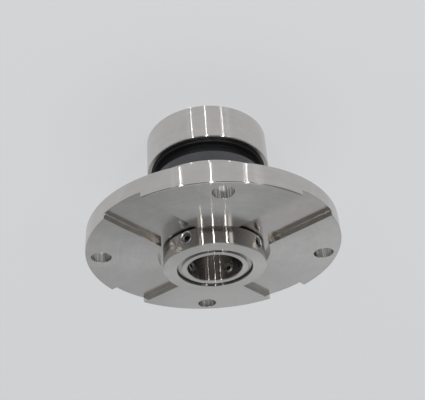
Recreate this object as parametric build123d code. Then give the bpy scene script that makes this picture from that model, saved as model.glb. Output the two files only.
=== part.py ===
from build123d import *
import os

# Cartridge mechanical seal for a rotating shaft, in millimetres.
# +Z runs along the shaft, from the pumped side towards the drive side. The origin is on the
# shaft axis, in the plane of the gland plate's mounting face.

# ---- shaft sleeve
shaft_d = 30.0
sleeve_wall = 3.0
shoulder_wall = 4.0
shoulder_length = 6.0
sleeve_end_inset = 0.4

# ---- gland plate
gland_d = 140.0
gland_thickness = 12.0
bolt_inset = 8.5
bolt_hole_d = 11.0
bolt_count = 4
channel_width = 26.0
channel_depth = 3.2
pilot_d = 87.0
pilot_length = 21.3
pilot_lead = 0.4
edge_break = 0.4
gland_lip_gap = 1.5
gland_lip_length = 2.0

# ---- stationary seat, carried in the end of the pilot
seat_d = 64.2
seat_shoulder_width = 5.1
seat_tail_length = 11.5
seat_socket_depth = 3.0
seat_socket_gap = 0.4
seat_tail_gap = 0.2
seat_standout = 14.9
seat_bore_gap = 2.5
seat_pin_d = 3.0
seat_pin_grip = 4.0
seat_pin_reach = 3.5
seat_pin_count = 2

# ---- throttle bushing in the gland plate
bushing_wall = 4.75
bushing_length = 8.0
bushing_gap = 0.25
bushing_tail_room = 0.5

# ---- lock collar on the drive end of the sleeve
collar_wall = 10.0
collar_height = 11.0
collar_side_gap = 3.0
collar_end_gap = 0.8
collar_dish_depth = 3.0
collar_dish_wall = 2.8
collar_turn = 36.0
screw_d = 6.0
screw_length = 12.0
screw_recess = 0.7
screw_key = 3.0
screw_key_depth = 3.5
screw_count = 4
screw_play = 0.05
screw_hole_lead = 0.5

# ---- rotary head: cup, face ring and springs
cup_d = 72.0
cup_length = 22.4
cup_wall = 2.5
cup_end_wall = 3.0
hub_inset = 1.0
face_width = 7.9
face_stand = 1.3
face_nose_inset = 3.5
face_nose_width = 3.5
face_nose_height = 5.6
face_body_length = 8.0
face_gap = 0.3
face_travel = 2.5
disc_thickness = 2.0
head_room = 3.5
drive_pin_d = 3.2
drive_pin_count = 2
drive_pin_reach = 2.5
drive_pin_grip = 5.0
spring_d = 5.0
spring_wire = 0.9
spring_turns = 5.0
spring_count = 8
spring_play = 0.3
dowel_d = 2.5
dowel_count = 2
dowel_reach = 3.0
dowel_sink = 0.5

# ---- rings bought in: O-rings and snap rings
large_cord = 3.5
small_cord = 2.6
groove_depth_share = 0.8
groove_width_share = 1.3
pressed_width_share = 1.15
snap_thickness = 1.5
snap_bite = 1.0
snap_stand = 2.2
snap_opening = 5.0

# ---- heights along the shaft
land_z = gland_thickness
floor_z = land_z - channel_depth
collar_low_z = floor_z + collar_end_gap
collar_top_z = collar_low_z + collar_height
sleeve_end_z = collar_top_z - sleeve_end_inset
pilot_end_z = -pilot_length
seat_shoulder_z = pilot_end_z + seat_socket_depth
seat_tail_z = seat_shoulder_z + seat_tail_length
seat_face_z = pilot_end_z - seat_standout
bushing_top_z = floor_z - gland_lip_length
bushing_low_z = bushing_top_z - bushing_length
bushing_snap_z = bushing_low_z - snap_thickness
tail_bore_z = seat_tail_z + bushing_tail_room
face_front_z = seat_face_z - face_nose_height
face_back_z = face_front_z - face_body_length
cup_mouth_z = face_front_z - face_stand
cup_end_z = cup_mouth_z - cup_length
disc_back_z = face_back_z - disc_thickness
cup_floor_z = disc_back_z - head_room
spring_low_z = cup_end_z + cup_end_wall
shoulder_z = cup_end_z + shoulder_length
hub_top_z = cup_mouth_z - hub_inset
dish_floor_z = collar_top_z - collar_dish_depth
screw_z = (collar_low_z + dish_floor_z) / 2

# ---- radii that fit one another
bore_r = shaft_d / 2
sleeve_r = bore_r + sleeve_wall
shoulder_r = sleeve_r + shoulder_wall
collar_r = sleeve_r + collar_wall
dish_r = sleeve_r + collar_dish_wall
recess_r = collar_r + collar_side_gap
gland_r = gland_d / 2
bolt_circle_r = gland_r - bolt_inset
pilot_r = pilot_d / 2
lip_r = sleeve_r + gland_lip_gap
bushing_bore_r = sleeve_r + bushing_gap
bushing_r = bushing_bore_r + bushing_wall
seat_r = seat_d / 2
seat_tail_r = seat_r - seat_shoulder_width
seat_bore_r = sleeve_r + seat_bore_gap
socket_r = seat_r + seat_socket_gap
tail_bore_r = seat_tail_r + seat_tail_gap
seat_pin_r = (seat_r + tail_bore_r) / 2
cup_r = cup_d / 2
cup_bore_r = cup_r - cup_wall
face_r = cup_bore_r - face_gap
face_bore_r = face_r - face_width
nose_r = face_r - face_nose_inset
nose_bore_r = nose_r - face_nose_width
hub_r = face_bore_r - face_gap
spring_r = (hub_r + cup_bore_r) / 2
drive_pin_r = cup_bore_r - face_gap - spring_wire / 2 - drive_pin_d / 2
dowel_r = (sleeve_r + shoulder_r) / 2

# ---- grooves for the O-rings
large_groove = large_cord * groove_depth_share
large_width = large_cord * groove_width_share
small_groove = small_cord * groove_depth_share
small_width = small_cord * groove_width_share
gasket_r = (pilot_r + bolt_circle_r - bolt_hole_d / 2) / 2
seat_cord_r = seat_tail_r + large_groove
seat_cord_z = seat_tail_z - large_width
face_cord_r = face_bore_r + large_groove
face_cord_z = face_back_z + large_width / 2
cup_cord_r = sleeve_r + small_groove
cup_cord_z = (cup_floor_z + hub_top_z) / 2
shaft_cord_r = bore_r + small_groove
shaft_cord_z = cup_end_z + shoulder_length / 2


def turned(*outline):
    """Solid of revolution about the shaft axis from a closed outline of (radius, height) points."""
    points = [(radius, 0, height) for radius, height in outline]
    return revolve(make_face(Polyline(*points, close=True)), Axis.Z)


def tube(inner_r, outer_r, low_z, high_z):
    """Plain ring between two radii and two heights."""
    return turned((inner_r, low_z), (outer_r, low_z), (outer_r, high_z), (inner_r, high_z))


def post(radius, low_z, high_z):
    """Round bar along the shaft direction."""
    return Pos(0, 0, low_z) * extrude(Circle(radius), high_z - low_z)


def pressed_ring(cord, inner_r, outer_r, middle_z):
    """O-ring pressed flat between an inner and an outer wall."""
    section = SlotOverall(cord * pressed_width_share, outer_r - inner_r, rotation=90)
    return revolve(Plane.XZ * Pos((inner_r + outer_r) / 2, middle_z) * section, Axis.Z)


def snap_ring(inner_r, outer_r, low_z):
    """Flat spring ring, cut open so that it can be sprung into its groove."""
    ring = tube(inner_r, outer_r, low_z, low_z + snap_thickness)
    opening = Pos(0, -outer_r, low_z) * Box(snap_opening, outer_r * 2, snap_thickness * 3)
    return ring - opening


def around(count, radius, turn=0.0):
    """Places evenly spaced on a circle about the shaft axis."""
    return PolarLocations(radius, count, start_angle=turn)


# ------------------------------------------------------------------ gland side, which stands still

def gland_plate():
    """Flange turned with its pilot and its stepped bore, then milled with crossed channels."""
    plate = turned(
        (lip_r, floor_z), (recess_r, floor_z), (recess_r, land_z), (gland_r - edge_break, land_z),
        (gland_r, land_z - edge_break), (gland_r, edge_break), (gland_r - edge_break, 0),
        (gasket_r + large_width / 2, 0), (gasket_r + large_width / 2, large_groove),
        (gasket_r - large_width / 2, large_groove), (gasket_r - large_width / 2, 0),
        (pilot_r, 0), (pilot_r, pilot_end_z + pilot_lead), (pilot_r - pilot_lead, pilot_end_z),
        (socket_r, pilot_end_z), (socket_r, seat_shoulder_z), (tail_bore_r, seat_shoulder_z),
        (tail_bore_r, seat_cord_z - large_width / 2), (seat_cord_r, seat_cord_z - large_width / 2),
        (seat_cord_r, seat_cord_z + large_width / 2), (tail_bore_r, seat_cord_z + large_width / 2),
        (tail_bore_r, tail_bore_z), (bushing_r, tail_bore_z), (bushing_r, bushing_snap_z),
        (bushing_r + snap_bite, bushing_snap_z), (bushing_r + snap_bite, bushing_low_z),
        (bushing_r, bushing_low_z), (bushing_r, bushing_top_z), (lip_r, bushing_top_z),
    )
    channel = Box(gland_d * 2, channel_width, channel_depth * 2)
    for turn in (45, 135):
        plate -= Pos(0, 0, land_z) * Rot(0, 0, turn) * channel
    for place in around(bolt_count, bolt_circle_r):
        plate -= place * post(bolt_hole_d / 2, -gland_thickness, gland_thickness * 2)
    for place in around(seat_pin_count, seat_pin_r):
        plate -= place * post(seat_pin_d / 2, pilot_end_z, seat_shoulder_z + seat_pin_grip)
    return plate


def gland_o_ring():
    """O-ring in the mounting face; it stands proud until the plate is bolted down."""
    radius = large_cord / 2
    section = Pos(gasket_r, large_groove - radius) * Circle(radius)
    return revolve(Plane.XZ * section, Axis.Z)


def stationary_seat():
    """Long hard ring whose lapped end the face ring runs on; its tail sits in the pilot's bore."""
    seat = turned(
        (seat_bore_r, seat_face_z), (seat_r - edge_break, seat_face_z),
        (seat_r, seat_face_z + edge_break), (seat_r, seat_shoulder_z - edge_break),
        (seat_r - edge_break, seat_shoulder_z), (seat_tail_r, seat_shoulder_z),
        (seat_tail_r, seat_tail_z - edge_break), (seat_tail_r - edge_break, seat_tail_z),
        (seat_bore_r, seat_tail_z),
    )
    slot_r = seat_pin_d / 2 + seat_tail_gap
    for place in around(seat_pin_count, seat_pin_r):
        seat -= place * post(slot_r, seat_shoulder_z - seat_pin_reach - seat_tail_gap, seat_shoulder_z)
    return seat


def seat_pins():
    """Pins pressed into the gland plate that stop the seat from turning."""
    pin = post(seat_pin_d / 2, seat_shoulder_z - seat_pin_reach, seat_shoulder_z + seat_pin_grip)
    return [place * pin for place in around(seat_pin_count, seat_pin_r)]


def throttle_bushing():
    """Close-fitting bush round the sleeve that limits a leak if the faces fail."""
    return tube(bushing_bore_r, bushing_r, bushing_low_z, bushing_top_z)


# ------------------------------------------------------------------ what turns with the shaft

def shaft_sleeve():
    """Thin sleeve with a shoulder at the pumped end, a ring groove and screw holes at the other."""
    snap_low_z = dish_floor_z
    sleeve = turned(
        (bore_r, cup_end_z + edge_break), (bore_r + edge_break, cup_end_z), (shoulder_r, cup_end_z),
        (shoulder_r, shoulder_z), (sleeve_r, shoulder_z), (sleeve_r, snap_low_z),
        (sleeve_r - snap_bite, snap_low_z), (sleeve_r - snap_bite, snap_low_z + snap_thickness),
        (sleeve_r, snap_low_z + snap_thickness), (sleeve_r, sleeve_end_z),
        (bore_r + edge_break, sleeve_end_z), (bore_r, sleeve_end_z - edge_break),
        (bore_r, shaft_cord_z + small_width / 2), (shaft_cord_r, shaft_cord_z + small_width / 2),
        (shaft_cord_r, shaft_cord_z - small_width / 2), (bore_r, shaft_cord_z - small_width / 2),
    )
    hole = Pos(0, 0, screw_z) * Rot(0, 90, 0) * post(screw_d / 2 + screw_play, 0, collar_r)
    for place in around(screw_count, 0, collar_turn):
        sleeve -= place * hole
    for place in around(dowel_count, dowel_r):
        sleeve -= place * post(dowel_d / 2, cup_end_z, shoulder_z)
    return sleeve


def lock_collar():
    """Drive collar with a dished face for its snap ring and countersunk holes for its screws."""
    collar = turned(
        (sleeve_r, collar_low_z), (collar_r - edge_break, collar_low_z),
        (collar_r, collar_low_z + edge_break), (collar_r, collar_top_z - edge_break),
        (collar_r - edge_break, collar_top_z), (dish_r, collar_top_z), (dish_r, dish_floor_z),
        (sleeve_r, dish_floor_z),
    )
    hole_r = screw_d / 2 + screw_play
    lead = Cone(hole_r, hole_r + screw_hole_lead * 2, screw_hole_lead * 2)
    hole = post(hole_r, 0, collar_r * 2) + Pos(0, 0, collar_r) * lead
    hole = Pos(0, 0, screw_z) * Rot(0, 90, 0) * hole
    for place in around(screw_count, 0, collar_turn):
        collar -= place * hole
    return collar


def set_screws():
    """Cup-point socket screws, run in through the collar and the sleeve to grip the shaft."""
    radius = screw_d / 2
    outer_end = collar_r - screw_recess
    screw = turned(
        (0, 0), (radius / 2, 0), (radius, radius / 2), (radius, screw_length - edge_break),
        (radius - edge_break, screw_length), (0, screw_length),
    )
    cup_point = Pos(0, 0, edge_break / 2) * Cone(radius / 2, 0, edge_break * 2)
    key = extrude(RegularPolygon(screw_key / 2, 6, major_radius=False), screw_key_depth)
    screw = screw - cup_point - Pos(0, 0, screw_length - screw_key_depth) * key
    screw = Pos(outer_end - screw_length, 0, screw_z) * Rot(0, 90, 0) * screw
    return [place * screw for place in around(screw_count, 0, collar_turn)]


def rotary_head_cup():
    """Cup that carries the face ring: outer wall, bored end with spring pockets, and inner hub."""
    cup = turned(
        (shoulder_r, cup_end_z), (cup_r - edge_break, cup_end_z), (cup_r, cup_end_z + edge_break),
        (cup_r, cup_mouth_z - edge_break), (cup_r - edge_break, cup_mouth_z),
        (cup_bore_r, cup_mouth_z), (cup_bore_r, cup_floor_z), (hub_r, cup_floor_z),
        (hub_r, hub_top_z - edge_break), (hub_r - edge_break, hub_top_z), (sleeve_r, hub_top_z),
        (sleeve_r, cup_cord_z + small_width / 2), (cup_cord_r, cup_cord_z + small_width / 2),
        (cup_cord_r, cup_cord_z - small_width / 2), (sleeve_r, cup_cord_z - small_width / 2),
        (sleeve_r, shoulder_z), (shoulder_r, shoulder_z),
    )
    for place in around(spring_count, spring_r, spring_turn()):
        cup -= place * post(spring_d / 2 + spring_play, spring_low_z, cup_mouth_z)
    for place in around(drive_pin_count, drive_pin_r):
        cup -= place * post(drive_pin_d / 2, cup_floor_z - drive_pin_grip, cup_floor_z)
    for place in around(dowel_count, dowel_r):
        cup -= place * post(dowel_d / 2, shoulder_z, shoulder_z + dowel_reach)
    return cup


def spring_turn():
    """Half a spring's spacing, which puts the drive pins between two springs."""
    return 180 / spring_count


def drive_slot(low_z, high_z):
    """Slot, open to the rim, in which a drive pin slides as the face ring moves."""
    half_width = drive_pin_d / 2 + face_gap
    round_end = post(half_width, low_z, high_z)
    way_out = Pos(cup_r / 2, 0, (low_z + high_z) / 2) * Box(cup_r, half_width * 2, high_z - low_z)
    return round_end + way_out


def rotary_face_ring():
    """Carbon ring: a narrow nose that runs on the seat, on a body that slides in the cup."""
    ring = turned(
        (nose_bore_r, seat_face_z), (nose_r, seat_face_z), (nose_r, face_front_z),
        (face_r - edge_break, face_front_z), (face_r, face_front_z - edge_break),
        (face_r, face_back_z), (face_cord_r, face_back_z),
        (face_cord_r, face_back_z + large_width), (face_bore_r, face_back_z + large_width),
        (face_bore_r, face_front_z), (nose_bore_r, face_front_z),
    )
    slot_top_z = face_back_z + drive_pin_reach + face_travel + face_gap
    for place in around(drive_pin_count, drive_pin_r):
        ring -= place * drive_slot(face_back_z, slot_top_z)
    return ring


def thrust_disc():
    """Disc that spreads the push of the springs over the face ring and its O-ring."""
    disc = tube(face_bore_r, face_r, disc_back_z, face_back_z)
    for place in around(drive_pin_count, drive_pin_r):
        disc -= place * drive_slot(disc_back_z, face_back_z)
    return disc


def drive_pins():
    """Pins pressed into the cup that turn the face ring with the shaft."""
    pin = post(drive_pin_d / 2, cup_floor_z - drive_pin_grip, face_back_z + drive_pin_reach)
    return [place * pin for place in around(drive_pin_count, drive_pin_r)]


def head_springs():
    """Small coil springs with ground ends, between their pockets and the thrust disc."""
    height = disc_back_z - spring_low_z
    coil_r = (spring_d - spring_wire) / 2
    pitch = height / spring_turns
    path = Pos(0, 0, -pitch / 2) * Helix(pitch, height + pitch, coil_r)
    start = Plane(origin=path @ 0, z_dir=path % 0)
    wire = sweep(start * Circle(spring_wire / 2), path=path, is_frenet=True)
    spring = Pos(0, 0, spring_low_z) * (wire & post(spring_d, 0, height))
    return [place * spring for place in around(spring_count, spring_r, spring_turn())]


def cup_dowels():
    """Dowels through the sleeve's shoulder that lock the cup to the sleeve."""
    dowel = post(dowel_d / 2, cup_end_z + dowel_sink, shoulder_z + dowel_reach)
    return [place * dowel for place in around(dowel_count, dowel_r)]


# ------------------------------------------------------------------ one file for each piece

pieces = {
    "gland_plate": gland_plate(),
    "gland_o_ring": gland_o_ring(),
    "stationary_seat": stationary_seat(),
    "seat_o_ring": pressed_ring(large_cord, seat_tail_r, seat_cord_r, seat_cord_z),
    "throttle_bushing": throttle_bushing(),
    "bushing_snap_ring": snap_ring(bushing_r - snap_stand, bushing_r + snap_bite, bushing_snap_z),
    "shaft_sleeve": shaft_sleeve(),
    "shaft_o_ring": pressed_ring(small_cord, bore_r, shaft_cord_r, shaft_cord_z),
    "lock_collar": lock_collar(),
    "collar_snap_ring": snap_ring(sleeve_r - snap_bite, sleeve_r + snap_stand, dish_floor_z),
    "rotary_head_cup": rotary_head_cup(),
    "cup_o_ring": pressed_ring(small_cord, sleeve_r, cup_cord_r, cup_cord_z),
    "rotary_face_ring": rotary_face_ring(),
    "face_o_ring": pressed_ring(large_cord, face_bore_r, face_cord_r, face_cord_z),
    "thrust_disc": thrust_disc(),
}
families = {
    "seat_pin": seat_pins(),
    "set_screw": set_screws(),
    "drive_pin": drive_pins(),
    "head_spring": head_springs(),
    "cup_dowel": cup_dowels(),
}
for family, members in families.items():
    for number, member in enumerate(members, 1):
        pieces[f"{family}_{number}"] = member

os.makedirs("parts", exist_ok=True)
for node, solid in pieces.items():
    export_step(solid, f"parts/{node}.step")
    print(node, round(solid.volume, 1), "mm3")
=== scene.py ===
from math import cos, radians, sin
import bmesh
import bpy
from mathutils import Matrix, Vector


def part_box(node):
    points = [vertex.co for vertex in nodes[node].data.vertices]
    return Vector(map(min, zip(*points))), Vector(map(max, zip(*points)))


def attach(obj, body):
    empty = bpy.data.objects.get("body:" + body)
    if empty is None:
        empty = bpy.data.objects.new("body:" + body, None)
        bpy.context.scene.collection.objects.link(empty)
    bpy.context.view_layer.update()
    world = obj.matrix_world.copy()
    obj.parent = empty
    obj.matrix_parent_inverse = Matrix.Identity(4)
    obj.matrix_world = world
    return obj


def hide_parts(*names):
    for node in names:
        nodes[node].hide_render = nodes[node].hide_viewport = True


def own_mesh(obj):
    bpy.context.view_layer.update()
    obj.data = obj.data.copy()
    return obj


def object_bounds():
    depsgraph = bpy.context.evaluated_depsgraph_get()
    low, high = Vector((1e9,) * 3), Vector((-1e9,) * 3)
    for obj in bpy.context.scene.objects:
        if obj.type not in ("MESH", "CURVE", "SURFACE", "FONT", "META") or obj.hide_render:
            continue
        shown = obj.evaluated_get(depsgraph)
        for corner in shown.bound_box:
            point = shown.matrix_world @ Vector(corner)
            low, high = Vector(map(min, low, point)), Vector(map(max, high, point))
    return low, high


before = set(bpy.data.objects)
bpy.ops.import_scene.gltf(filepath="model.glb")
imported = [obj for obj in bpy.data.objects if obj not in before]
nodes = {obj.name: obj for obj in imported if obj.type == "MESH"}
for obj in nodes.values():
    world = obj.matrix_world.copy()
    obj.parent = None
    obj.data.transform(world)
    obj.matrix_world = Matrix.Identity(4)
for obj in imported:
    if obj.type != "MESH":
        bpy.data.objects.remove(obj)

cad_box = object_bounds()

# ---- Gland plate
# The flange that is bolted to the pump, turned in one piece with its pilot from stainless bar.
# The crossed channels are milled and the four bolt holes drilled afterwards, and every edge is
# broken with a file. The face is polished last, so only faint rings are left.

mm = 0.001


def link(tree, output, socket):
    tree.links.new(output, socket)


def add_math(tree, operation, first, second):
    """A Math node, each of whose two sides is an output or a plain number."""
    node = tree.nodes.new("ShaderNodeMath")
    node.operation = operation
    for socket, value in zip(node.inputs, (first, second)):
        if isinstance(value, (int, float)):
            socket.default_value = value
        else:
            link(tree, value, socket)
    return node.outputs["Value"]


def add_noise(tree, vector, scale, detail, roughness=0.5, distortion=0.0):
    node = tree.nodes.new("ShaderNodeTexNoise")
    node.inputs["Scale"].default_value = scale
    node.inputs["Detail"].default_value = detail
    node.inputs["Roughness"].default_value = roughness
    node.inputs["Distortion"].default_value = distortion
    link(tree, vector, node.inputs["Vector"])
    return node.outputs["Fac"]


def spread(tree, value, low, high, start=0.3, end=0.7):
    """A pattern stretched so that its useful range runs between two values."""
    node = tree.nodes.new("ShaderNodeMapRange")
    for name, number in (("From Min", start), ("From Max", end), ("To Min", low), ("To Max", high)):
        node.inputs[name].default_value = number
    link(tree, value, node.inputs["Value"])
    return node.outputs["Result"]


def shade_of(tree, colour, level):
    """A colour made darker or lighter by a pattern around one."""
    node = tree.nodes.new("ShaderNodeVectorMath")
    node.operation = "SCALE"
    node.inputs["Vector"].default_value = colour
    link(tree, level, node.inputs["Scale"])
    return node.outputs["Vector"]


def new_finish(name, colour, metallic, roughness):
    """A material with one Principled shader, and the piece's own coordinates to work from."""
    material = bpy.data.materials.new(name)
    material.use_nodes = True
    tree = material.node_tree
    shader = tree.nodes["Principled BSDF"]
    shader.inputs["Base Color"].default_value = (*colour, 1)
    shader.inputs["Metallic"].default_value = metallic
    shader.inputs["Roughness"].default_value = roughness
    place = tree.nodes.new("ShaderNodeTexCoord").outputs["Object"]
    return material, tree, shader, place


def ring_place(tree, place, pitch, reach):
    """Coordinates that change fast along the shaft and outwards, and slowly round the shaft."""
    split = tree.nodes.new("ShaderNodeSeparateXYZ")
    link(tree, place, split.inputs["Vector"])
    flat = tree.nodes.new("ShaderNodeCombineXYZ")
    link(tree, split.outputs["X"], flat.inputs["X"])
    link(tree, split.outputs["Y"], flat.inputs["Y"])
    radius = tree.nodes.new("ShaderNodeVectorMath")
    radius.operation = "LENGTH"
    link(tree, flat.outputs["Vector"], radius.inputs[0])
    across = add_math(tree, "ADD", radius.outputs["Value"], split.outputs["Z"])
    rings = tree.nodes.new("ShaderNodeCombineXYZ")
    link(tree, add_math(tree, "MULTIPLY", across, 1 / pitch), rings.inputs["X"])
    link(tree, add_math(tree, "MULTIPLY", split.outputs["X"], 1 / reach), rings.inputs["Y"])
    link(tree, add_math(tree, "MULTIPLY", split.outputs["Y"], 1 / reach), rings.inputs["Z"])
    return rings.outputs["Vector"]


def ring_noise(tree, place, pitch, reach, detail):
    """Fine rings about the shaft, such as a turning tool leaves."""
    return add_noise(tree, ring_place(tree, place, pitch, reach), scale=1, detail=detail)


def add_bump(tree, height, depth, strength=1.0, under=None):
    node = tree.nodes.new("ShaderNodeBump")
    node.inputs["Strength"].default_value = strength
    node.inputs["Distance"].default_value = depth
    link(tree, height, node.inputs["Height"])
    if under is not None:
        link(tree, under, node.inputs["Normal"])
    return node.outputs["Normal"]


def add_vector(tree, operation, first, second):
    """A Vector Math node, each of whose two sides is an output or a plain vector."""
    node = tree.nodes.new("ShaderNodeVectorMath")
    node.operation = operation
    for socket, value in zip(node.inputs, (first, second)):
        if isinstance(value, tuple):
            socket.default_value = value
        else:
            link(tree, value, socket)
    return node.outputs["Vector"]


def across_rings(tree, place, normal):
    """The direction across the tool's rings: along the shaft on a wall, outwards on a face."""
    lay = add_vector(tree, "ADD", normal, add_vector(tree, "MULTIPLY", place, (0.3, 0.3, 0.3)))
    round_shaft = add_vector(tree, "CROSS_PRODUCT", (0, 0, 1), lay)
    round_shaft = add_vector(tree, "NORMALIZE", round_shaft, (0, 0, 0))
    return add_vector(tree, "CROSS_PRODUCT", normal, round_shaft)


def turned_steel(name, colour, polish, share, draw):
    """Stainless steel, turned and then polished. Most of it mirrors plainly, and a share of it
    spreads light by draw across the tool's rings, which draws a lamp out into a thin line."""
    material, tree, bright, place = new_finish(name, colour, 1, polish)
    fine = ring_noise(tree, place, pitch=0.16 * mm, reach=30 * mm, detail=1)
    bands = ring_noise(tree, place, pitch=1.6 * mm, reach=40 * mm, detail=3)
    smears = add_noise(tree, place, scale=75, detail=5, roughness=0.6, distortion=0.6)
    rough_bands, rough_smears = spread(tree, bands, -0.01, 0.02), spread(tree, smears, -0.02, 0.04)
    rough = add_math(tree, "ADD", rough_bands, rough_smears)
    link(tree, add_math(tree, "ADD", rough, polish), bright.inputs["Roughness"])
    pale_bands, pale_smears = spread(tree, bands, 0.97, 1.02), spread(tree, smears, 0.92, 1.03)
    tint = shade_of(tree, colour, add_math(tree, "MULTIPLY", pale_bands, pale_smears))
    link(tree, tint, bright.inputs["Base Color"])
    link(tree, add_bump(tree, fine, 0.0006 * mm), bright.inputs["Normal"])
    normal = tree.nodes.new("ShaderNodeTexCoord").outputs["Normal"]
    to_world = tree.nodes.new("ShaderNodeVectorTransform")
    to_world.vector_type, to_world.convert_from, to_world.convert_to = "VECTOR", "OBJECT", "WORLD"
    link(tree, across_rings(tree, place, normal), to_world.inputs["Vector"])
    across = to_world.outputs["Vector"]
    bright.inputs["Anisotropic"].default_value = 1
    link(tree, across, bright.inputs["Tangent"])
    drawn = tree.nodes.new("ShaderNodeBsdfAnisotropic")
    drawn.distribution = "BECKMANN"
    line_width = 0.003
    drawn.inputs["Roughness"].default_value = (draw * line_width) ** 0.25
    drawn.inputs["Anisotropy"].default_value = (line_width / draw) ** 0.5 - 1
    link(tree, tint, drawn.inputs["Color"])
    link(tree, across, drawn.inputs["Tangent"])
    mix = tree.nodes.new("ShaderNodeMixShader")
    mix.inputs["Fac"].default_value = share
    link(tree, bright.outputs["BSDF"], mix.inputs[1])
    link(tree, drawn.outputs["BSDF"], mix.inputs[2])
    link(tree, mix.outputs["Shader"], tree.nodes["Material Output"].inputs["Surface"])
    return material


def milled_steel(name, colour):
    """Steel as the end mill leaves it, duller, with faint lines along the channels."""
    material, tree, shader, place = new_finish(name, colour, 1, 0.1)
    turned = tree.nodes.new("ShaderNodeMapping")
    turned.inputs["Rotation"].default_value = (0, 0, radians(45))
    turned.inputs["Scale"].default_value = (700, 700, 1)
    link(tree, place, turned.inputs["Vector"])
    marks = add_noise(tree, turned.outputs["Vector"], scale=1, detail=2)
    level = add_noise(tree, place, scale=90, detail=4, roughness=0.6)
    link(tree, spread(tree, level, 0.15, 0.24), shader.inputs["Roughness"])
    link(tree, shade_of(tree, colour, spread(tree, level, 0.9, 1.02)), shader.inputs["Base Color"])
    link(tree, add_bump(tree, marks, 0.001 * mm, 0.5), shader.inputs["Normal"])
    return material


def drilled_steel(name, colour):
    """Steel inside a bolt hole, with upright drill marks in its relief, and upright streaks of
    painted reflection in its colour, lighter and darker by turns.
    """
    material, tree, shader, place = new_finish(name, colour, 1, 0.14)
    upright = tree.nodes.new("ShaderNodeMapping")
    upright.inputs["Scale"].default_value = (1300, 1300, 20)
    link(tree, place, upright.inputs["Vector"])
    drill_marks_and_painted_streaks = add_noise(tree, upright.outputs["Vector"], scale=1, detail=2, roughness=0.6)
    # The colour swings far both ways along the stripes: painted reflection streaks over the drill
    # marks.
    link(tree, shade_of(tree, colour, spread(tree, drill_marks_and_painted_streaks, 0.3, 1.5)), shader.inputs["Base Color"])
    link(tree, spread(tree, drill_marks_and_painted_streaks, 0.18, 0.1), shader.inputs["Roughness"])
    link(tree, add_bump(tree, drill_marks_and_painted_streaks, 0.03 * mm), shader.inputs["Normal"])
    return material


sharp_angle, smooth_angle = radians(30), radians(25)


def eased(node, width, name):
    """A merged copy of a CAD node, with its sharp edges rounded and its round walls smooth."""
    shape = bmesh.new()
    shape.from_mesh(nodes[node].data)
    bmesh.ops.remove_doubles(shape, verts=shape.verts, dist=0.0005 * mm)
    bmesh.ops.dissolve_limit(shape, angle_limit=radians(1), verts=shape.verts, edges=shape.edges)
    rounding = set()
    if width > 0:
        sharp = [edge for edge in shape.edges if edge.calc_face_angle() > sharp_angle]
        rounding = set(bmesh.ops.bevel(shape, geom=sharp, offset=width, offset_type="OFFSET",
                                       segments=2, profile=0.5, affect="EDGES",
                                       clamp_overlap=True, material=-1)["faces"])
    for edge in shape.edges:
        on_rounding = [face in rounding for face in edge.link_faces]
        edge.smooth = all(on_rounding) or (
            not any(on_rounding) and edge.calc_face_angle() < smooth_angle)
    for face in shape.faces:
        face.smooth = True
    mesh = bpy.data.meshes.new(name)
    shape.to_mesh(mesh)
    shape.free()
    piece = bpy.data.objects.new(name, mesh)
    bpy.context.scene.collection.objects.link(piece)
    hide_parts(node)
    return piece


def in_finishes(piece, *finishes):
    """Gives a piece its finishes. The first is for round walls, the second for flat faces."""
    for finish in finishes:
        piece.data.materials.append(finish)
    for face in piece.data.polygons:
        face.material_index = 1 if abs(face.normal.z) > 0.7 else 0


flange_colour = (0.62, 0.60, 0.575)
gland = eased("gland_plate", 0.12 * mm, "gland_flange")
in_finishes(gland, turned_steel("flange_turned", flange_colour, polish=0.13, share=0.3, draw=0.45),
            turned_steel("flange_faced", flange_colour, polish=0.1, share=0.3, draw=0.42),
            milled_steel("flange_milled", (0.63, 0.60, 0.565)),
            drilled_steel("flange_drilled_painted_streaks", (0.66, 0.65, 0.635)))
land_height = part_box("gland_plate")[1].z
channel_depth = 3.2 * mm
channel_floor = land_height - channel_depth
channel_start, channel_end = 31.5 * mm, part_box("gland_plate")[1].x - 0.5 * mm
bolt_circle_radius, bolt_hole_reach = 61.5 * mm, 6 * mm
for face in gland.data.polygons:
    upright = abs(face.normal.z) < 0.3
    on_floor = abs(face.center.z - channel_floor) < 0.1 * mm
    on_wall = channel_floor < face.center.z < land_height and upright
    aside, along = sorted(abs(side) for side in face.center.xy)
    off_bolt = Vector((along - bolt_circle_radius, aside)).length
    if off_bolt < bolt_hole_reach and upright:
        face.material_index = 3
    elif channel_start < face.center.xy.length < channel_end and (on_floor or on_wall):
        face.material_index = 2
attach(gland, "gland")

# ---- O-rings
# Black fluorocarbon rubber rings from a mould, which leaves them faintly matt. One seals the
# mounting face, and the others the seat, the sleeve, the cup and the face ring.


def moulded_rubber(name, colour):
    material, tree, shader, place = new_finish(name, colour, 0, 0.5)
    grain = add_noise(tree, place, scale=2500, detail=3)
    bloom = add_noise(tree, place, scale=150, detail=4, roughness=0.6)
    link(tree, shade_of(tree, colour, spread(tree, bloom, 0.8, 1.6)), shader.inputs["Base Color"])
    link(tree, spread(tree, bloom, 0.42, 0.6), shader.inputs["Roughness"])
    link(tree, add_bump(tree, grain, 0.015 * mm, 0.6), shader.inputs["Normal"])
    shader.inputs["Specular IOR Level"].default_value = 0.4
    return material


rubber = moulded_rubber("ring_rubber", (0.014, 0.014, 0.015))
for node, body in (("gland_o_ring", "gland"), ("seat_o_ring", "gland"), ("shaft_o_ring", "rotor"),
                   ("cup_o_ring", "rotor"), ("face_o_ring", "face")):
    ring = eased(node, 0, node.replace("o_ring", "rubber_ring"))
    ring.data.materials.append(rubber)
    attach(ring, body)

# ---- Stationary seat
# A long ring of silicon carbide, sintered and ground, whose far end is lapped flat for the face
# ring to run on. Two pins in the flange stop it from turning.


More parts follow.
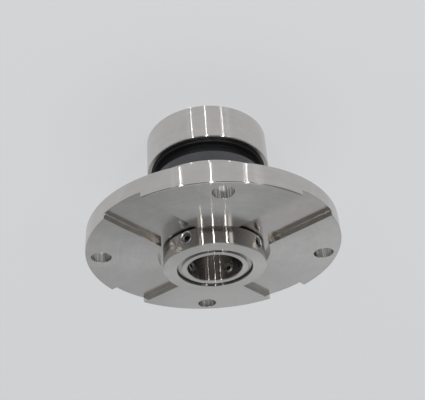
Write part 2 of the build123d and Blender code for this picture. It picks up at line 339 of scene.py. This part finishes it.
def ground_ceramic(name, colour):
    material, tree, shader, place = new_finish(name, colour, 0, 0.24)
    grain = add_noise(tree, place, scale=5000, detail=2)
    clouds = add_noise(tree, place, scale=120, detail=4, roughness=0.6)
    pale_grain, pale_clouds = spread(tree, grain, 0.75, 1.35), spread(tree, clouds, 0.9, 1.1)
    level = add_math(tree, "MULTIPLY", pale_grain, pale_clouds)
    link(tree, shade_of(tree, colour, level), shader.inputs["Base Color"])
    link(tree, spread(tree, clouds, 0.14, 0.22), shader.inputs["Roughness"])
    rings = ring_noise(tree, place, pitch=0.3 * mm, reach=30 * mm, detail=2)
    relief = add_bump(tree, rings, 0.002 * mm)
    link(tree, add_bump(tree, grain, 0.003 * mm, 0.5, relief), shader.inputs["Normal"])
    return material


seat = eased("stationary_seat", 0.15 * mm, "seat_ring")
seat.data.materials.append(ground_ceramic("seat_carbide", (0.070, 0.072, 0.078)))
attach(seat, "gland")

# ---- Pins and dowels
# Short hardened steel pins, ground round and pressed in. The seat pins hold the seat, the drive
# pins turn the face ring, and the dowels lock the cup to the sleeve.


def ground_steel(name, colour, dullness):
    material, tree, shader, place = new_finish(name, colour, 1, dullness)
    marks = add_noise(tree, place, scale=900, detail=3, roughness=0.6)
    stains = add_noise(tree, place, scale=200, detail=4, roughness=0.6)
    level = spread(tree, stains, 0.86, 1.05)
    link(tree, shade_of(tree, colour, level), shader.inputs["Base Color"])
    link(tree, spread(tree, marks, dullness - 0.05, dullness + 0.07), shader.inputs["Roughness"])
    link(tree, add_bump(tree, marks, 0.004 * mm, 0.5), shader.inputs["Normal"])
    return material


pin_steel = ground_steel("ground_pin_steel", (0.55, 0.55, 0.55), dullness=0.2)
for family, body in (("seat_pin", "gland"), ("drive_pin", "rotor"), ("cup_dowel", "rotor")):
    for number in (1, 2):
        pin = eased(f"{family}_{number}", 0.2 * mm, f"{family}_ground_{number}")
        pin.data.materials.append(pin_steel)
        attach(pin, body)

# ---- Throttle bushing
# A close-fitting bush of filled black plastic that limits a leak if the faces fail. It is turned
# from bar, pushed into the flange and held there by a snap ring.


def turned_plastic(name, colour):
    material, tree, shader, place = new_finish(name, colour, 0, 0.45)
    rings = ring_noise(tree, place, pitch=0.25 * mm, reach=20 * mm, detail=2)
    fibres = add_noise(tree, place, scale=1800, detail=3, roughness=0.7)
    link(tree, shade_of(tree, colour, spread(tree, fibres, 0.7, 1.4)), shader.inputs["Base Color"])
    link(tree, spread(tree, rings, 0.36, 0.52), shader.inputs["Roughness"])
    link(tree, add_bump(tree, rings, 0.008 * mm, 0.7), shader.inputs["Normal"])
    return material


bushing = eased("throttle_bushing", 0.2 * mm, "throttle_bush")
bushing.data.materials.append(turned_plastic("bush_plastic", (0.05, 0.046, 0.042)))
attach(bushing, "gland")

# ---- Shaft sleeve
# The thin stainless tube that slides over the shaft and carries everything that turns. Its bore
# is honed bright, and the end that shows inside the lock collar is faced square.

sleeve_colour = (0.60, 0.575, 0.545)
sleeve = eased("shaft_sleeve", 0.12 * mm, "honed_sleeve")
in_finishes(sleeve, turned_steel("sleeve_honed", sleeve_colour, polish=0.07, share=0.3, draw=0.55),
            turned_steel("sleeve_faced", sleeve_colour, polish=0.13, share=0.25, draw=0.12))
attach(sleeve, "rotor")

# ---- Rotary head cup
# A stainless cup at the pumped end, turned thin-walled and polished outside. It is dowelled to
# the sleeve's shoulder and holds the springs and the face ring.

cup_colour = (0.67, 0.65, 0.63)
cup = eased("rotary_head_cup", 0.2 * mm, "polished_cup")
in_finishes(cup, turned_steel("cup_turned", cup_colour, polish=0.13, share=0.3, draw=0.5),
            turned_steel("cup_faced", cup_colour, polish=0.13, share=0.4, draw=0.12))
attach(cup, "rotor")

# ---- Springs, thrust disc and snap rings
# Spring steel pieces. Eight small coils with ground ends push the disc against the face ring and
# shorten as it is pressed back. Two flat rings hold the bush and the sleeve's end in place.

spring_steel = ground_steel("drawn_spring_steel", (0.55, 0.55, 0.54), dullness=0.27)
for number in range(1, 9):
    coil = eased(f"head_spring_{number}", 0, f"ground_end_coil_{number}")
    coil.data.materials.append(spring_steel)
    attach(coil, "rotor")
    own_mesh(coil)
for node, name, body in (("thrust_disc", "stamped_thrust_disc", "face"),
                         ("bushing_snap_ring", "bush_spring_clip", "gland"),
                         ("collar_snap_ring", "collar_spring_clip", "rotor")):
    plate = eased(node, 0.15 * mm, name)
    plate.data.materials.append(spring_steel)
    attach(plate, body)

# ---- Rotary face ring
# The ring of pressed carbon graphite that runs on the seat. It is machined all over, satin
# black, with a narrow nose, and it floats in the cup on an O-ring.


def machined_carbon(name, colour):
    material, tree, shader, place = new_finish(name, colour, 0, 0.36)
    rings = ring_noise(tree, place, pitch=0.2 * mm, reach=30 * mm, detail=2)
    pores = add_noise(tree, place, scale=3500, detail=2)
    link(tree, shade_of(tree, colour, spread(tree, pores, 0.6, 1.5)), shader.inputs["Base Color"])
    link(tree, spread(tree, rings, 0.28, 0.44), shader.inputs["Roughness"])
    relief = add_bump(tree, rings, 0.004 * mm)
    link(tree, add_bump(tree, pores, 0.006 * mm, 0.5, relief), shader.inputs["Normal"])
    shader.inputs["Specular IOR Level"].default_value = 0.3
    return material


face_ring = eased("rotary_face_ring", 0.15 * mm, "carbon_ring")
face_ring.data.materials.append(machined_carbon("ring_carbon", (0.010, 0.010, 0.011)))
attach(face_ring, "face")

# ---- Lock collar
# The drive collar, turned and polished, with a dished front for the snap ring. Four tapped and
# countersunk holes take the screws that grip the shaft through the sleeve.

collar_colour = (0.63, 0.61, 0.58)
collar = eased("lock_collar", 0.12 * mm, "drive_collar")
in_finishes(collar, turned_steel("collar_turned", collar_colour, polish=0.09, share=0.3, draw=0.4),
            turned_steel("collar_faced", collar_colour, polish=0.13, share=0.4, draw=0.12))
# The tapped holes' walls get near-black steel, painted shade in the holes, and the countersinks get
# steel lighter than the collar's, a painted highlight.
collar.data.materials.append(ground_steel("collar_tapped_painted_shade", (0.20, 0.195, 0.19), dullness=0.3))
collar.data.materials.append(ground_steel("collar_countersunk_painted_highlight", (0.78, 0.77, 0.76), dullness=0.28))
# The dish's walls get steel at about half the collar's colour: painted shade down in the narrow
# groove.
collar.data.materials.append(
    turned_steel("collar_dish_painted_shade", (0.34, 0.33, 0.31), polish=0.09, share=0.5, draw=0.5))
# The inward walls of the dish above its bottom take that painted shade.
dish_bottom = 17 * mm
for face in collar.data.polygons:
    inwards = face.normal.xy.dot(face.center.xy) < 0
    if inwards and abs(face.normal.z) < 0.7 and face.center.z > dish_bottom:
        face.material_index = 4
screw_count, screw_turn = 4, radians(36)
screw_height = sum(corner.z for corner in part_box("set_screw_1")) / 2
out_of_reach = 1


def off_screw_line(face, number):
    """The direction of a set screw, and how far a face lies from the line down its middle."""
    turn = screw_turn + number * radians(360 / screw_count)
    outwards = Vector((cos(turn), sin(turn), 0))
    centre = face.center - Vector((0, 0, screw_height))
    along = centre.dot(outwards)
    return outwards, (centre - outwards * along).length if along > 0 else out_of_reach


# Hole walls take the painted shade, and the countersinks the painted highlight.
countersink_reach = 3.6 * mm
for number in range(screw_count):
    for face in collar.data.polygons:
        outwards, off = off_screw_line(face, number)
        facing = abs(face.normal.dot(outwards))
        if off < countersink_reach and facing < 0.9:
            face.material_index = 2 if facing < 0.3 else 3
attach(collar, "rotor")

# ---- Set screws
# Four M6 cup-point screws with a 3 mm hexagon socket, rolled and heat treated, run in until
# their ends stand just under the collar's side.

thread_pitch = 1 * mm


def rolled_thread(name, colour):
    """Dull screw steel with its thread as relief along the nearer of the two screw axes."""
    material, tree, shader, place = new_finish(name, colour, 1, 0.26)
    turned = tree.nodes.new("ShaderNodeMapping")
    turned.vector_type = "TEXTURE"
    turned.inputs["Rotation"].default_value = (0, 0, screw_turn)
    link(tree, place, turned.inputs["Vector"])
    split = tree.nodes.new("ShaderNodeSeparateXYZ")
    link(tree, turned.outputs["Vector"], split.inputs["Vector"])
    sides = [add_math(tree, "ABSOLUTE", split.outputs[side], 0) for side in ("X", "Y")]
    along = add_math(tree, "MAXIMUM", sides[0], sides[1])
    crest = add_math(tree, "PINGPONG", along, thread_pitch / 2)
    stains = add_noise(tree, place, scale=300, detail=4, roughness=0.6)
    link(tree, shade_of(tree, colour, spread(tree, stains, 0.8, 1.05)), shader.inputs["Base Color"])
    link(tree, spread(tree, stains, 0.2, 0.34), shader.inputs["Roughness"])
    link(tree, add_bump(tree, crest, 1, 0.6), shader.inputs["Normal"])
    return material


screw_steel = rolled_thread("rolled_screw_steel", (0.50, 0.50, 0.49))
# Each screw's end is painted lighter than its steel, a painted highlight, and its socket near
# black, painted shade in its depth.
screw_end_painted_highlight = ground_steel("screw_end_painted_highlight_steel", (0.78, 0.77, 0.76), dullness=0.3)
screw_socket_painted_shade = ground_steel("screw_socket_painted_shade_steel", (0.05, 0.048, 0.045), dullness=0.35)
socket_reach, socket_middle = 1.8 * mm, 1.4 * mm
for number in range(1, screw_count + 1):
    screw = eased(f"set_screw_{number}", 0.12 * mm, f"socket_screw_{number}")
    for finish in (screw_steel, screw_end_painted_highlight, screw_socket_painted_shade):
        screw.data.materials.append(finish)
    for face in screw.data.polygons:
        lines = [off_screw_line(face, side) for side in range(screw_count)]
        outwards, off = min(lines, key=lambda line: line[1])
        facing = abs(face.normal.dot(outwards))
        # Faces across the screw take the lighter end, a painted highlight, and faces down the
        # socket take the painted shade.
        if facing > 0.3:
            face.material_index = 1
        if off < socket_reach and (facing < 0.3 or off < socket_middle):
            face.material_index = 2
    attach(screw, "rotor")

# ---- Floor
# A plain pale sheet under the seal, which stands on the flat end of its cup. The sheet's glow is
# seen by the eye and in the steel, and lights nothing, so the seal's shadow stays on it.

bpy.ops.mesh.primitive_plane_add(size=8, location=(0, 0, cad_box[0][2]))
floor = bpy.context.object
floor.name = "floor"
floor_colour = (0.22, 0.222, 0.227)
paint, tree, shader, place = new_finish("floor_paint", floor_colour, 0, 0.85)
level = spread(tree, add_noise(tree, place, scale=3, detail=3), 0.985, 1.015)
link(tree, shade_of(tree, floor_colour, level), shader.inputs["Base Color"])
rays = tree.nodes.new("ShaderNodeLightPath")
seen = add_math(tree, "MAXIMUM", rays.outputs["Is Camera Ray"], rays.outputs["Is Glossy Ray"])
shader.inputs["Emission Color"].default_value = (0.97, 0.98, 1, 1)
link(tree, add_math(tree, "MULTIPLY", seen, 0.52), shader.inputs["Emission Strength"])
floor.data.materials.append(paint)

# ---- Studio
# A plain room: a soft light above, a pale wall behind, and the dimmer side where the camera is.
# Three narrow strip lights stand in front, with a wide faint one out to each side of them.

world = bpy.data.worlds.new("studio")
bpy.context.scene.world = world
world.use_nodes = True
tree = world.node_tree
background = tree.nodes["Background"]
where = tree.nodes.new("ShaderNodeTexCoord").outputs["Generated"]
split = tree.nodes.new("ShaderNodeSeparateXYZ")
link(tree, where, split.inputs["Vector"])


def sky(tint, levels):
    """A tint and its level by height, from the horizon at 0 to straight above at 1."""
    ramp = tree.nodes.new("ShaderNodeValToRGB")
    link(tree, split.outputs["Z"], ramp.inputs["Fac"])
    stops = ramp.color_ramp.elements
    stops.remove(stops[1])
    for number, (height, level) in enumerate(levels):
        stop = stops[0] if number == 0 else stops.new(height)
        stop.position = height
        stop.color = (*(level * Vector(tint)), 1)
    return ramp.outputs["Color"]


behind = sky((0.97, 1, 1.035), ((0, 0.56), (0.45, 0.56), (0.59, 0.28), (0.85, 0.25),
                                (0.93, 1.0), (1, 1.0)))
in_front = sky((1.03, 0.99, 0.97), ((0, 0.12), (0.2, 0.1), (0.34, 0.04), (0.5, 0.12),
                                    (0.62, 0.12), (0.85, 0.08), (0.93, 1.0), (1, 1.0)))
room = tree.nodes.new("ShaderNodeMix")
room.data_type = "RGBA"
link(tree, spread(tree, split.outputs["Y"], 0, 1, -0.6, 0.25), room.inputs["Factor"])
link(tree, in_front, room.inputs["A"])
link(tree, behind, room.inputs["B"])
seen_room = tree.nodes.new("ShaderNodeMixShader")
plain_wall = tree.nodes.new("ShaderNodeBackground")
plain_wall.inputs["Color"].default_value = (0.63, 0.64, 0.66, 1)
link(tree, tree.nodes.new("ShaderNodeLightPath").outputs["Is Camera Ray"], seen_room.inputs["Fac"])
link(tree, background.outputs["Background"], seen_room.inputs[1])
link(tree, plain_wall.outputs["Background"], seen_room.inputs[2])
link(tree, seen_room.outputs["Shader"], tree.nodes["World Output"].inputs["Surface"])
link(tree, room.outputs["Result"], background.inputs["Color"])
side_level = spread(tree, split.outputs["X"], 0.76, 1, -0.65, -0.38)
back_level = spread(tree, split.outputs["X"], 1.24, 0.96, -0.28, 0.1)
link(tree, add_math(tree, "MULTIPLY", side_level, back_level), background.inputs["Strength"])

strip_distance, strip_length = 1.2, 0.7
for name, bearing, height, width, power in (
        ("left", -62, 18, 0.008, 2.0), ("middle", -86, 20, 0.009, 2.6),
        ("right", -114, 20, 0.008, 2.0), ("side", -124, 22, 0.14, 0.45),
        ("far", -56, 18, 0.05, 0.12)):
    lamp = bpy.data.lights.new(f"strip_{name}", "AREA")
    lamp.shape = "RECTANGLE"
    lamp.size = width
    lamp.size_y = strip_length
    lamp.energy = power
    lamp_object = bpy.data.objects.new(lamp.name, lamp)
    bpy.context.scene.collection.objects.link(lamp_object)
    turn, rise = radians(bearing), radians(height)
    away = Vector((cos(turn) * cos(rise), sin(turn) * cos(rise), sin(rise)))
    lamp_object.location = away * strip_distance
    lamp_object.rotation_euler = away.to_track_quat("Z", "Y").to_euler()

# ---- Camera
# It looks at the collar side from low in front, through a fairly long lens, and is rolled half
# over, so that the cup is at the top.

camera_data = bpy.data.cameras.new("camera")
camera_data.lens = 58.3
camera_data.sensor_width = 36
camera = bpy.data.objects.new("camera", camera_data)
bpy.context.scene.collection.objects.link(camera)
spot = Vector((35.4, -331.2, 195.5)) * mm
look = Vector((-0.0921, 0.8294, -0.5510)).normalized()
right = Vector((-0.9956, -0.0698, 0.0630)).normalized()
up = right.cross(look).normalized()
right = look.cross(up)
turned = Matrix((right, up, -look)).transposed().to_4x4()
camera.matrix_world = Matrix.Translation(spot) @ turned
bpy.context.scene.camera = camera

bpy.context.scene.view_settings.view_transform = "Standard"
